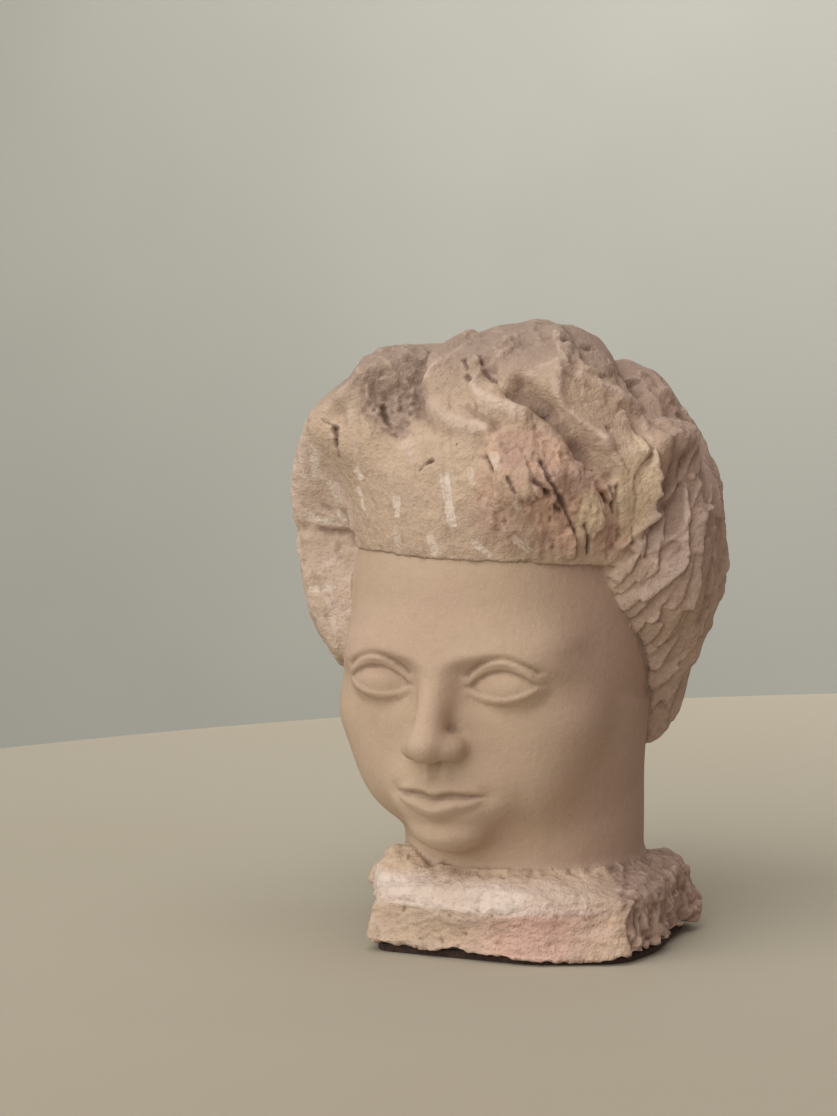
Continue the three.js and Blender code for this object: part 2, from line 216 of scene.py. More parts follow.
def near_path(direction, path):
    """How far each point is from a path over the hair, in millimetres."""
    best = np.full(len(direction), 9.0)
    for start, end in zip(path[:-1], path[1:]):
        run = end - start
        off = direction - start
        t = np.clip(off @ run / (run @ run), 0, 1)
        best = np.minimum(best, length(off - t[:, None] * run))
    return best * HAIR_RADIUS


def bent(start, middle, end, pieces=5):
    """A lock's path, through its start, middle and end."""
    a, m, b = at(*start), at(*middle), at(*end)
    t = np.linspace(0, 1, pieces + 1)[:, None]
    q = a * (1 - t) ** 2 + (4 * m - a - b) * t * (1 - t) + b * t * t
    return q / length(q)[:, None]


LOCK_PATHS = [(bent(a, m, b), height, half) for a, m, b, height, half in LOCKS]


def locks(direction):
    height = np.zeros(len(direction))
    for path, proud, half in LOCK_PATHS:
        height += proud * bell(near_path(direction, path), half)
    return height


def round_and_up(direction):
    """Degrees round from the front and up, for each direction."""
    lon = np.degrees(np.arctan2(direction[:, 0], -direction[:, 1]))
    return lon, np.degrees(np.arcsin(np.clip(direction[:, 2], -1, 1)))


def waves(direction):
    """The wavy locks blocked out behind, one every twenty degrees."""
    lon, lat = round_and_up(direction)
    sway = 10 * np.sin(np.radians(lat * 3.2)) + 7 * np.sin(np.radians(lat * 1.4 + 40))
    lock = 2.6 * np.cos(np.radians(lon + sway) * 18)
    return lock * ramp(70, 100, np.abs(lon - 8)) * ramp(82, 60, lat)


def opening(p):
    """How far inside the opening left for the face a point is: below its top and before its sides."""
    x, y, z = p.T
    top = HAIRLINE + 3 - 2 * bell(x - 10, 30) - 0.0016 * np.maximum(x, 0) ** 2
    right = 24 - 58 * np.exp(-(np.maximum(HAIRLINE + 1 - z, 0) / 48) ** 2.2)
    left = -41 + 84 * ramp(126, 88, z) + 0.75 * np.minimum(x + 56, 0)
    return top - z, left + (right - left) * ramp(-20, 20, x) - y


def upper_left(p):
    """The squared mass above the left temple, its corner sliced off on the slant."""
    x, y, z = p.T
    d = squared(p, (-40, -28, 234), (38, 34, 28.5), 5)
    d = keep(d, -0.705 * x - 0.189 * y + 0.68 * z - 220.3, 2.5)
    d = keep(d, -0.8 * x - 0.6 * y - 92.5, 8)
    return keep(d, 0.83 * z - 0.56 * y - 244.5, 5)


def hair(p, local, skin, jitter=0.0):
    """The hair, standing proud of the skin from the edge of the opening upwards and backwards."""
    half = np.where(p[:, 2:3] > HAIR_CENTRE[2], (93.0, 97.0, 84.0), (93.0, 97.0, 118.0))
    d = join(ellipsoid(p, HAIR_CENTRE, half), upper_left(p), 10)
    for centre, size, soft in HAIR_MASSES:
        d = join(d, ellipsoid(p, centre, size), soft)
    direction = around(p)
    d = d - locks(direction) - waves(direction)
    x = local[:, 0]
    below, before = opening(local)
    up = np.maximum(-below, 0)
    rise = 0.5 + 0.15 * ramp(5, 40, x) + 0.12 * ramp(-16, -70, x)
    bulge = 0.035 * np.maximum(up - 13 - 0.8 * np.maximum(x - 42, 0), 0) ** 2 * ramp(18, 42, x)
    bulge += 0.010 * np.maximum(up - 16, 0) ** 2 * ramp(-16, -50, x)
    at_left = ramp(-16, -46, x)
    back = (0.55 * ramp(-20, 20, x) - 1.6) * (before - 0.68 * (np.hypot(up, 5) - 5) * at_left)
    over = rise * up + bulge + np.minimum(-below, 0)
    thick, round_left = keep(over, back, 14), np.hypot(np.maximum(over, 0), np.maximum(back, 0))
    thick = thick + (round_left - thick) * at_left
    d = keep(d, skin - 0.9 - 1.6 * ramp(20, 50, x) - np.maximum(thick, 0), 9)
    d = keep(d, np.minimum(below, 0.75 * before) + jitter, 1.5)
    return keep(d, 77 + 0.06 * p[:, 1] - p[:, 2], 9)


def neck(p):
    """An upright oval post."""
    middle, half, top = (4, 4), (54, 56), 103
    across = length((p[:, :2] - middle) / half)
    return np.maximum((across - 1) * half[0], p[:, 2] - top)


# How far the head is turned to its right, and the place on the block that it is turned about.
HEAD_TURN = radians(7)
HEAD_AXIS = np.array([-5.0, 2.0, 3.5])


def to_head(p):
    """Places on the bust as places on the head."""
    q = p - HEAD_AXIS
    c, s = cos(HEAD_TURN), sin(HEAD_TURN)
    return np.stack([q[:, 0] * c - q[:, 1] * s, q[:, 0] * s + q[:, 1] * c, q[:, 2]], 1)


# The foot is a block with eight sides: which way each faces, in degrees from +X, and how far out it
# lies. Its front faces a little to the right, and FRONT_X and FRONT_Y are the direction along it.
UNDERSIDE = 3.0
FOOT_TOP = 27.5
FOOT_SIDES = (
    (-94.5, 68), (-69.4, 75), (-20.8, 80), (-2, 75), (35.5, 75.8), (90, 54), (143, 57), (179, 46.5)
)
FRONT_X, FRONT_Y = 0.936, 0.352


def along_front(x, y):
    """How far along the foot's front, from left to right."""
    return FRONT_X * x + FRONT_Y * y


def out_front(x, y):
    """How far out towards the foot's front."""
    return FRONT_Y * x - FRONT_X * y


def foot(p):
    """The block, its sides leaning in by 4 mm, with the lumps left on its top and right."""
    x, y, z = p.T
    d = np.full(len(p), -1000.0)
    lean = 4.0 * (z - 14) / 22.5
    for facing, out in FOOT_SIDES:
        a = radians(facing)
        d = keep(d, x * cos(a) + y * sin(a) - out + lean, 3.5)
    d = keep(d, z - FOOT_TOP, 3.5)
    d = join(d, ellipsoid(p, (5, -4, 22.5), (67, 70, 19)), 8)
    d = join(d, ellipsoid(p, (-39, -36, 29), (13, 18, 12)), 6)
    d = join(d, ellipsoid(p, (64.5, 14, 26.5), (11, 18, 8.5)), 5)
    d = join(d, ellipsoid(p, (69.5, 18, 12), (13, 12, 8.5)), 9)
    return np.maximum(d, UNDERSIDE - z)


def form(p, jitter=0.0):
    """Signed distance to the whole bust, and to its head, hair and foot apart."""
    local = to_head(p)
    bare, throat = bare_head(local), neck(p)
    flesh = join(face(local, bare), throat, 10)
    strands = hair(p, local, join(bare, throat, 10), jitter)
    base = foot(p)
    whole = join(join(flesh, base, 5), strands, 1.0)
    return np.maximum(whole, UNDERSIDE - p[:, 2]), flesh, strands, base


# The blank is cut from the rough solid, then brought to the form with ever finer facets. Here the
# size of the first facets, and how near two points are merged, are in metres.
FACET = 0.0017
MERGED = 0.00002


def copy_of(node, name):
    """A copy of a solid from the frame, its points merged where they meet, left in edit mode."""
    bpy.ops.object.select_all(action="DESELECT")
    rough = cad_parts[node]
    rough.select_set(True)
    bpy.context.view_layer.objects.active = rough
    bpy.ops.object.duplicate()
    made = bpy.context.object
    made.name = name
    bpy.ops.object.mode_set(mode="EDIT")
    bpy.ops.mesh.select_all(action="SELECT")
    bpy.ops.mesh.remove_doubles(threshold=MERGED)
    return made


bust = copy_of("stone_bust", "carved_bust")
bpy.ops.object.mode_set(mode="OBJECT")
remesh = bust.modifiers.new("even facets", "REMESH")
remesh.mode = "VOXEL"
remesh.voxel_size = FACET
bpy.ops.object.modifier_apply(modifier=remesh.name)


def read_points(obj):
    co = np.empty(len(obj.data.vertices) * 3, np.float32)
    obj.data.vertices.foreach_get("co", co)
    return co.reshape(-1, 3).astype(float) * 1000


def write_points(obj, p):
    obj.data.vertices.foreach_set("co", (p / 1000).astype(np.float32).ravel())
    obj.data.update()


def read_edges(obj):
    e = np.empty(len(obj.data.edges) * 2, np.int32)
    obj.data.edges.foreach_get("vertices", e)
    return e.reshape(-1, 2)


def normals(obj):
    n = np.empty(len(obj.data.vertices) * 3, np.float32)
    obj.data.vertex_normals.foreach_get("vector", n)
    return n.reshape(-1, 3).astype(float)


def averaged(values, edges, times):
    """Each point's value drawn towards its neighbours', times over."""
    flat = values.reshape(len(values), -1)
    count = np.bincount(edges.ravel(), minlength=len(flat)).astype(float)[:, None]
    for _ in range(times):
        total = np.zeros_like(flat)
        for k in range(flat.shape[1]):
            total[:, k] = np.bincount(edges[:, 0], flat[edges[:, 1], k], len(flat))
            total[:, k] += np.bincount(edges[:, 1], flat[edges[:, 0], k], len(flat))
        flat = 0.5 * flat + 0.5 * total / count
    return flat.reshape(values.shape)


def grain(p, scale, seed=0.0):
    """Smooth noise, about -1 to 1, with features of the given size in millimetres."""
    shift = Vector((seed, seed * 1.7, -seed))
    return np.array([noise.noise(Vector(q) / scale + shift) for q in p])


def edge_wander(p):
    """How the edge of the hair strays from a clean line."""
    return 0.9 * grain(p, 9) + 0.5 * grain(p, 4, 3)


def settle(obj, rounds, relax):
    """Brings each point onto the form in a few rounds. Relax evens out the facets each time."""
    nudge = 0.3
    longest = 2.5
    for _ in range(rounds):
        p = read_points(obj)
        if relax:
            p = averaged(p, read_edges(obj), 1)
        jitter = edge_wander(p)
        d = form(p, jitter)[0]
        slope = np.stack([form(p + way * nudge, jitter)[0] - d for way in np.eye(3)], 1) / nudge
        steep = np.maximum((slope * slope).sum(1), 0.25)
        move = slope * (d / steep)[:, None]
        far = np.maximum(length(move) / longest, 1)
        p -= move / far[:, None]
        p[:, 2] = np.maximum(p[:, 2], UNDERSIDE)
        write_points(obj, p)


settle(bust, 3, True)

# The face, the front of the hair, and the foot's front and right side get finer facets.
p = read_points(bust)
_, flesh, strands, base = form(p)
lon, lat = round_and_up(around(p))
fine = (flesh < base) & (flesh < strands) & (to_head(p)[:, 1] < -18) & (p[:, 2] > 38)
fine |= (strands < flesh) & (lon > -55) & (lon < 92) & (lat < 66) & (lat > -48)
fine |= (base < flesh) & (out_front(p[:, 0], p[:, 1]) > 18)
fine |= (base < flesh) & (along_front(p[:, 0], p[:, 1]) > 52)
bpy.ops.object.mode_set(mode="EDIT")
bpy.ops.mesh.select_mode(type="VERT")
bpy.ops.mesh.select_all(action="DESELECT")
bpy.ops.object.mode_set(mode="OBJECT")
bust.data.vertices.foreach_set("select", fine)
bpy.ops.object.mode_set(mode="EDIT")
bpy.ops.mesh.select_mode(type="FACE")
bpy.ops.mesh.subdivide(number_cuts=1)
bpy.ops.object.mode_set(mode="OBJECT")
settle(bust, 2, False)

# Everything finer is cut into the finished form: heights in millimetres along the surface's normal.
# Where the mason stopped at the chisel the hair keeps every stroke, bruised pale by the edge; where
# the stone broke, on the fringe and the crown, it shows flat pinkish faces, cracks and pits.
p = read_points(bust)
edges = read_edges(bust)
_, flesh, strands, base = form(p, edge_wander(p))
on_hair = ramp(-0.8, 0.8, np.minimum(flesh, base) - strands)
on_foot = ramp(-1.5, 1.5, np.minimum(flesh, strands) - base)
on_skin = np.clip(1 - on_hair - on_foot, 0, 1)
direction = around(p)
lon, lat = round_and_up(direction)
coarse, middling, small = grain(p, 15, 1), grain(p, 6, 2), grain(p, 2.6, 3)
bend = np.stack([grain(p, 10, 11), grain(p, 10, 12), grain(p, 10, 13)], 1)
relief = on_hair * (0.45 * coarse + 0.22 * middling + 0.10 * small)


def region(lon0, lat0, wide, high, soft=3.0):
    """A patch of the hair with a wandering edge, given in degrees."""
    off = np.hypot((lon - lon0) / wide, (lat - lat0) / high) - 1
    return ramp(soft, -soft, 0.5 * (wide + high) * off + 3 * coarse + 2 * middling) * on_hair


def facets(where, size, seed, tilt, tall=1.0, crack=0.0):
    """Broken faces: flat patches at odd slopes that step, or crack, where they meet."""
    rng = np.random.default_rng(seed)
    inside = np.flatnonzero(where > 0.01)
    q = p[inside] + 0.35 * size * bend[inside]
    q[:, 2] /= tall
    mixed = rng.permutation(len(inside))
    first = np.unique(np.floor(q[mixed] / size), axis=0, return_index=True)[1]
    seeds = q[mixed[first]]
    slopes = rng.normal(0, tilt, (len(seeds), 3))
    rise = rng.normal(0, 0.35 * tilt * size, len(seeds))
    tree = kdtree.KDTree(len(seeds))
    for i, place in enumerate(seeds):
        tree.insert(place, i)
    tree.balance()
    found = [tree.find_n(place, 2) for place in q]
    near = np.array([[hit[1] for hit in pair] for pair in found])
    gap = np.array([[hit[2] for hit in pair] for pair in found])
    planes = rise[near] + ((q[:, None, :] - seeds[near]) * slopes[near]).sum(2)
    between = gap[:, 1] - gap[:, 0]
    share = 0.5 * (1 - ramp(0, 0.16 * size, between))
    height = np.zeros(len(p))
    height[inside] = planes[:, 0] * (1 - share) + planes[:, 1] * share
    height[inside] -= crack * bell(between, 0.10 * size)
    height[inside] -= np.average(height[inside], weights=where[inside])
    return averaged(height * where, edges, 1)


# The length of one degree over the hair, in millimetres.
DEGREE = 1.658


def over_hair(lat0):
    """Millimetres over the hair for a degree round and a degree up."""
    return DEGREE * cos(radians(lat0)), DEGREE


def cuts(a, b, box, scale, apart, turn, size, seed, lean):
    """Overlapping flat cuts of the chisel: how high each leaves the stone, and how bruised.

    Places are given by a and b, which scale turns to millimetres. The box says where the cuts lie,
    apart how far from each other, turn the slope of a cut's length at a place, size its length and
    width, and lean how far it tips to one side and how much that varies.
    """
    rng = np.random.default_rng(seed)
    spots = []
    for row, b0 in enumerate(np.arange(box[2], box[3], apart[1] / scale(0)[1])):
        step = apart[0] / scale(b0)[0]
        for a0 in np.arange(box[0] + 0.5 * step * (row % 2), box[1], step):
            shift = rng.uniform(-0.4, 0.4, 2)
            spots.append((a0 + shift[0] * step, b0 + shift[1] * apart[1] / scale(0)[1]))
    height = -0.5 + 0.5 * middling + 0.25 * small
    bruised = np.zeros(len(p))
    for k in rng.permutation(len(spots)):
        a0, b0 = spots[k]
        right, up = (a - a0 + 180) % 360 - 180, b - b0
        right, up = right * scale(b0)[0], up * scale(b0)[1]
        close = np.flatnonzero(np.maximum(np.abs(right), np.abs(up)) < size[0])
        right, up = right[close], up[close]
        angle = radians(turn(a0, b0) + rng.normal(0, 8))
        half = np.array(size) * rng.uniform(0.36, 0.64, 2)
        u = (right * cos(angle) + up * sin(angle)) / half[0]
        w = (up * cos(angle) - right * sin(angle)) / half[1]
        off = np.maximum((np.abs(w) - 1) * half[1], (np.abs(u) - 1) * half[0])
        inside = ramp(0.45, -0.45, off + 0.7 * middling[close] + 0.5 * small[close])
        slope = rng.normal(lean[0], lean[1]), rng.normal(0, 0.35 * lean[1] + 0.1)
        flat = rng.uniform(-0.35, 0.35) + 0.5 * slope[0] * w + 0.5 * slope[1] * u
        white = 1.2 * rng.uniform() ** 2.4 * (0.75 - 0.25 * np.clip(w, -1, 1))
        height[close] += (flat - height[close]) * inside
        bruised[close] += (white - bruised[close]) * inside
    return averaged(height, edges, 1), bruised


def hair_cuts(box, apart, turn, size, seed, lean=(-0.7, 0.2)):
    """Cuts in the hair, with places in degrees round and up."""
    return cuts(lon, lat, box, over_hair, apart, turn, size, seed, lean)


def path_gap(points):
    """How far each point is from a path given in degrees."""
    return near_path(direction, np.array([at(*q) for q in points]))


# Ridges left standing between the locks: path, half width, height, how pale the top is, from wear
# and from a painted highlight. Then the valleys beside them: path, half width, depth.
RIDGES = (
    (((-7, 58), (-13, 50), (-18, 45), (-21, 41)), 1.6, 0.9, 0.45),
    (((-21, 42), (-18, 38), (-13, 35), (-3, 31), (5, 29)), 3.6, 1.0, 0.75),
    (((12, 52), (4, 47), (0, 43), (2, 39)), 1.6, 0.8, 0.45),
    (((1, 42), (3, 38), (8, 34), (17, 32)), 3.2, 0.9, 0.75),
    (((33, 58), (32, 50), (33, 45)), 1.2, 0.8, 0.7),
    (((33, 45), (42, 41), (54, 37)), 1.9, 0.8, 0.7),
    (((19, 43), (24, 46), (29, 46)), 1.8, 0.6, 0.55),
    (((30, 43), (28, 37), (30, 33), (35, 29), (41, 24)), 2.4, 0.9, 0.75),
    (((60, 33), (57, 27), (57, 20), (60, 12)), 1.2, 1.0, 0.4),
    (((77, 20), (76, 14), (73, 8), (69, 0), (60, -6)), 1.4, 1.2, 0.45),
    (((74, 24), (70, 15), (62, 7), (51, -4)), 1.6, 1.6, 0.5),
    (((86, 20), (80, 8), (66, -6)), 1.5, 1.2, 0.4),
    (((48, -16), (52, -22), (60, -31)), 1.2, 0.5, 0.9),
    (((-37, 31), (-37, 26), (-35, 22)), 1.8, 0.4, 0.6),
    (((-21, 26), (-17, 21)), 2.2, 0.3, 0.6),
)
HOLLOWS = (
    (((17, 42), (24, 36), (31, 31), (38, 26), (43, 17)), 3.0, 3.2),
    (((-26, 50), (-22, 45), (-20, 36)), 2.6, 2.2),
    (((6, 47), (10, 42), (16, 38)), 3.0, 2.4),
    (((-30, 38), (-28, 33), (-22, 29)), 4.0, 1.5),
    (((62, 30), (65, 20), (64, 8)), 2.8, 2.6),
    (((70, 20), (69, 10), (59, -1)), 2.4, 2.0),
    (((84, -24), (82, -13), (86, 0)), 3.0, 2.8),
    (((-7, 12), (-9, 24)), 5.0, 0.7),
    (((5, 26), (7, 18), (8, 9)), 3.0, 1.2),
    (((-27, 22), (-27, 6)), 4.0, 0.6),
    (((-42, 28), (-42, 19)), 3.0, 1.0),
    (((-68, 0), (-58, -1), (-49, -4)), 2.2, 1.8),
    (((-52, 26), (-58, 16), (-58, 6)), 2.2, 0.8),
)
pale = np.zeros(len(p))
for path, half, high, pallor in RIDGES:
    gap = np.maximum(path_gap(path) + 1.2 * middling + 0.4 * small, 0)
    relief += on_hair * high * bell(gap, half)
    # The ridge tops are painted pale, partly wear and partly a painted highlight.
    worn = pallor * (0.75 + 0.5 * coarse + 0.4 * middling)
    pale = np.maximum(pale, on_hair * worn * ramp(1.15 * half, 0.3 * half, gap + 0.5 * small))
for path, half, deep in HOLLOWS:
    relief -= on_hair * deep * bell(path_gap(path), half)

# The front of the hair is broken away in long splintered faces. On the whole a layer of cuts lies a
# little low, so it is lifted before it is scaled.
LIFT = 0.1
breakage = np.maximum(region(30, 10, 13, 15), region(17, 22, 9, 7))
breakage = np.maximum(breakage, 0.7 * region(12, 9, 9, 12))
breakage = np.maximum(breakage, region(47, -1, 7, 5))
height, _ = hair_cuts((8, 64, -12, 32), (9, 11), lambda a, b: 100, (22, 12), 5, (0, 0.9))
streaked = grain(p * (1, 1, 0.3), 2.0, 61)
relief += breakage * (2.0 * (height + LIFT) + 0.35 * streaked + 0.2 * small)
relief += facets(breakage, 6, 6, 0.10, 1.5, 0.15)

# Chunks left standing in the break: place, slope of the length, half length and half width, height
# and how far the face leans.
CHUNKS = (
    ((24, 19), 122, 13, 6.0, 0.2, 0.8), ((14, 14), 100, 13, 7.5, 0.5, -0.7),
    ((21, 1), 125, 10, 6.0, 0.2, 0.9), ((46, 3), 105, 13, 4.5, -1.2, 0.8),
    ((30, -3), 92, 8, 6.0, 1.2, -1.2), ((37, 7), 113, 12, 6.5, 1.8, -1.4),
    ((56, 10), 98, 16, 6.5, 1.6, -2.6), ((50, 25), 104, 12, 7.5, 1.0, -2.2),
)
yellow = np.maximum(region(52.5, 13.5, 6.5, 14, 2.5), region(37, 5, 4, 7, 1.5))
for (lon0, lat0), slope, half_long, half_wide, high, leaning in CHUNKS:
    wide, tall = over_hair(lat0)
    right, up = (lon - lon0) * wide, (lat - lat0) * tall
    along = (right * cos(radians(slope)) + up * sin(radians(slope))) / half_long
    across = (up * cos(radians(slope)) - right * sin(radians(slope))) / half_wide
    out = np.maximum(np.abs(along + 0.3 * across), np.abs(across - 0.2 * along))
    off = (out - 1) * half_wide + 2.2 * middling + 0.8 * small
    inside = ramp(0.7, -0.7, off) * on_hair
    body = high + leaning * np.clip(across, -1.2, 1.2) - 0.5 * along**2 + 0.35 * streaked
    relief += (body - 1.4 * breakage * (height + LIFT)) * inside
    relief -= 0.5 * on_hair * bell(off - 0.8, 0.7) * ramp(-0.2, 0.6, -across)

# The hollow at the top left was only broken out with the point.
rough_top = region(-27, 34, 6, 7, 2.0)
height, _ = hair_cuts((-36, -18, 26, 42), (4, 4), lambda a, b: 80, (7, 4.5), 9, (0, 0.9))
relief += rough_top * (2.2 * height + 0.6 * small - 0.8)

# The lobes at the right, the block at the left and the crown are broken off in broad flat faces.
lobes = np.maximum(region(44, 46, 15, 12), region(70, 38, 16, 16))
relief += facets(lobes, 14, 11, 0.13, 1.0, 0.2) + facets(lobes, 6, 12, 0.06) + 0.25 * lobes * small
block_top = region(-34, 48, 18, 12)
relief += facets(block_top, 13, 13, 0.11) + facets(block_top, 5, 14, 0.07) + 0.3 * block_top * small
crown = region(8, 60, 22, 14)
relief += facets(crown, 11, 15, 0.10, 1.0, 0.2) + facets(crown, 5, 16, 0.06) + 0.25 * crown * small

# The fringe was smoothed in broad, shallow cuts.
fringe = on_hair * ramp(-60, -50, lon) * ramp(36, 22, lon) * ramp(44, 34, lat)
fringe *= (1 - breakage) * (1 - rough_top)
height, _ = hair_cuts((-62, 32, -12, 42), (9, 12), lambda a, b: 95 - 0.5 * a, (20, 11), 10, (0, 0.5))
relief += fringe * (0.9 * (height + LIFT) + 0.10 * small)

# Along the edge against the face a fine line is painted pale, as a painted highlight.
below, before = opening(to_head(p))
from_edge = np.minimum(below, 0.75 * before)
line = on_hair * bell(from_edge, 1.3) * ramp(60, 0, p[:, 0]) * (p[:, 2] > 90)
pale = np.maximum(pale, 0.75 * line * (0.8 + 0.8 * coarse))

# Pits and cracks: path, half width, depth.
PITS = (
    (((-6, 50), (-3, 46)), 0.9, 2.0), (((-3, 44), (-1, 43)), 0.9, 1.8),
    (((1, 50), (3, 48)), 0.8, 1.6), (((-14, 18), (-12, 20), (-10, 21)), 0.6, 1.6),
    (((-44, 26.5), (-40.5, 26)), 0.6, 1.6),
    (((-40.5, 26), (-40, 23), (-42, 19.5)), 0.7, 2.6), (((20, 14), (24, 11)), 1.4, 2.6),
    (((26, 8), (28, 7)), 1.1, 2.6), (((36, 3), (38, -1), (39, -6)), 0.9, 2.4),
    (((6, 21), (8, 17)), 1.0, 1.4), (((4, 46), (8, 43)), 1.1, 1.8),
    (((21, 36), (25, 34)), 1.2, 1.8), (((-30, 34), (-28, 31)), 1.1, 2.2),
    (((43, 14), (46, 6)), 0.9, 1.8), (((22, 19), (24, 14), (29, 8), (33, 1)), 0.9, 2.6),
    (((13, 15), (15, 11)), 0.8, 1.4), (((34, 21), (38, 17), (43, 9)), 1.0, 2.6),
)
# The pits and cracks are also painted dark inside, as painted shade.
pit = np.zeros(len(p))
for path, half, deep in PITS:
    hole = bell(np.maximum(path_gap(path) + 0.7 * middling + 0.7 * small, 0), half) * on_hair
    relief -= deep * hole
    pit = np.maximum(pit, hole)

# Single strokes of the flat chisel: start, end, half width and depth in millimetres, how white.
STROKES = (
    ((-6, 17.5), (-3, 2.5), 2.4, 0.8, 1.0), ((-22, 11), (-22, 5), 2.3, 0.6, 0.9),
    ((-23, 2), (-23, -4), 2.2, 0.3, 0.4), ((-11, 1), (-9, -6), 2.2, 0.5, 0.65),
    ((2, -1), (8, -6), 1.5, 0.5, 0.8), ((14, 0), (20, -5), 1.7, 0.4, 0.7),
    ((9, 22), (10, 17), 2.5, 0.4, 0.55), ((2, 19), (3, 14), 1.5, 0.3, 0.45),
    ((-37, 18), (-35.6, 15), 2.1, 0.5, 1.0), ((-38.6, 13.5), (-38, 10.5), 1.7, 0.4, 0.8),
    ((-38.3, 9.8), (-37.4, 6.5), 1.7, 0.4, 0.9), ((-52.5, 14), (-55, 8), 1.9, 0.5, 1.0),
    ((-57, 6), (-56, 3), 1.7, 0.4, 1.0), ((-63, 3), (-57, 1.5), 2.0, 0.5, 1.0),
    ((-50, 21), (-53, 17), 1.2, 0.3, 1.0), ((-53.3, 16.7), (-55.5, 13.2), 1.3, 0.3, 1.0),
    ((-55, 19), (-58, 13), 0.8, 0.3, 0.8), ((-64, -16), (-60.5, -18), 1.3, 0.4, 0.9),
    ((-60, -7), (-63, -13), 0.8, 0.3, 0.7), ((-58, -6), (-55, -9), 1.0, 0.4, 0.7),
    ((-61, -19), (-60, -30), 0.8, 0.3, 0.6), ((14.5, 9), (16.5, 7), 1.5, 0.3, 0.7),
)
stroke_edge = np.full(len(p), 9.0)
stroke_along = np.zeros(len(p))
stroke_white = np.zeros(len(p))
for start, end, half, deep, white in STROKES:
    a, b = at(*start), at(*end)
    reach = length(b - a) * HAIR_RADIUS
    along = (direction - a) @ (b - a) / length(b - a) * HAIR_RADIUS
    across = np.abs(direction @ np.cross(a, b)) / length(np.cross(a, b)) * HAIR_RADIUS
    off = np.maximum(across - half, np.abs(along - 0.5 * reach) - 0.5 * reach)
    off = np.where(direction @ a > 0.8, off, 9.0) + 0.25 * small
    relief -= 0.55 * on_hair * deep * ramp(0.6, -1.4, off)
    closer = off < stroke_edge
    stroke_edge = np.where(closer, off, stroke_edge)
    stroke_along = np.where(closer, along, stroke_along)
    stroke_white = np.where(closer, white, stroke_white)

# On the right the hair is swept up and back in flat cuts a thumb's breadth long.
above_sweep = lat - 1.15 * (lon - 52)
swept = on_hair * ramp(0, -6, above_sweep + 4) * ramp(114, 98, lon) * ramp(26, 40, lon)
height, bruised = hair_cuts(
    (34, 114, -56, 30), (7.5, 8), lambda a, b: min(max(60 + 1.4 * (a - 53), 50), 86), (26, 7.5), 3
)
relief += swept * 3.2 * (height + LIFT)
cut_pale_and_painted_light = swept * bruised
swept_up = on_hair * ramp(50, 62, lon) * ramp(114, 98, lon) * ramp(34, 24, lat)
swept_up *= ramp(-2, 6, above_sweep)
height, bruised = hair_cuts((48, 114, -4, 38), (11, 14), lambda a, b: 72, (30, 13), 4)
relief += swept_up * 2.2 * (height + LIFT)
cut_pale_and_painted_light = np.maximum(cut_pale_and_painted_light, 0.35 * swept_up * bruised)

# At the left temple the cuts are small and run downwards.
left_side = on_hair * ramp(-46, -54, lon) * ramp(-108, -96, lon) * ramp(16, 4, lat)
height, bruised = hair_cuts((-110, -44, -56, 18), (5, 6), lambda a, b: 112 + 0.4 * b, (13, 5.5), 5)
relief += left_side * 1.8 * (height + LIFT)
cut_pale_and_painted_light = np.maximum(cut_pale_and_painted_light, left_side * (0.2 + 0.8 * bruised))
# A patch at the left temple is painted pale, as painted light on a shaded fold.
cut_pale_and_painted_light = np.maximum(cut_pale_and_painted_light, 0.6 * region(-56, 12, 9, 15))

# Behind, the locks were only blocked out, in long wavy cuts from the crown to the nape.
behind = on_hair * np.maximum(ramp(98, 114, lon), ramp(-76, -90, lon)) * ramp(74, 60, lat)
behind *= 1 - left_side
height, bruised = hair_cuts(
    (-180, 180, -60, 76), (10, 15), lambda a, b: 90 + 34 * sin(radians(b * 3.4 + 30)), (32, 11), 6
)
relief += behind * 2.8 * (height + LIFT)
cut_pale_and_painted_light = np.maximum(cut_pale_and_painted_light, 0.35 * behind * bruised)
relief += facets(on_hair * ramp(60, 74, lat) * (1 - crown), 12, 17, 0.10)

# The foot is nearly flat in front, dressed with a claw in level lines; its right side is broken off.
# A rough collar runs round between its top and the neck. Cuts in the foot are placed in degrees
# round it and millimetres up.
x, y, z = p.T
level = along_front(x, y)
faces_front = out_front(x, y) / np.hypot(x, y)
front = on_foot * ramp(0.30, 0.55, faces_front) * ramp(28, 21, z)
side = on_foot * ramp(-1.2, 1.6, level + 0.19 * z - 44 + 0.8 * middling)
side *= ramp(-76, -64, y) * ramp(58, 26, y)
streaks = grain(np.stack([level / 13, z / 1.5 + 0.4 * middling, y / 13], 1), 1, 21)
beads = grain(np.stack([level / 3.2, z / 1.7, y / 3.2], 1), 1, 22)
collar = ramp(20, 23, z) * ramp(36, 30, z) * ramp(0.0, 0.3, faces_front) * (1 - on_hair)
dressed = front * (1 - side)
relief += dressed * (0.35 * coarse + 0.35 * middling + 0.28 * streaks + 0.35 * beads + 0.25 * small)
round_foot = np.degrees(np.arctan2(x, -y))
height, bruised = cuts(
    round_foot, z, (-70, 75, 2, 28), lambda b: (1.15, 1.0), (7, 3), lambda a, b: 4, (13, 3.6), 30, (0, 0.7)
)
relief += dressed * (0.45 * height + 0.1)
cut_pale_and_painted_light = np.maximum(cut_pale_and_painted_light, 0.55 * dressed * bruised)
scraped = ramp(0.05, 0.35, streaks) * bell(z - 18, 4.5) * bell(level + 14, 36)
cut_pale_and_painted_light = np.maximum(cut_pale_and_painted_light, 0.8 * dressed * scraped)
hole = dressed * ramp(0.50, 0.72, grain(p, 3.0, 51))
relief -= 0.9 * hole
# These holes are painted a little dark, as painted shade.
pit = np.maximum(pit, 0.3 * hole)

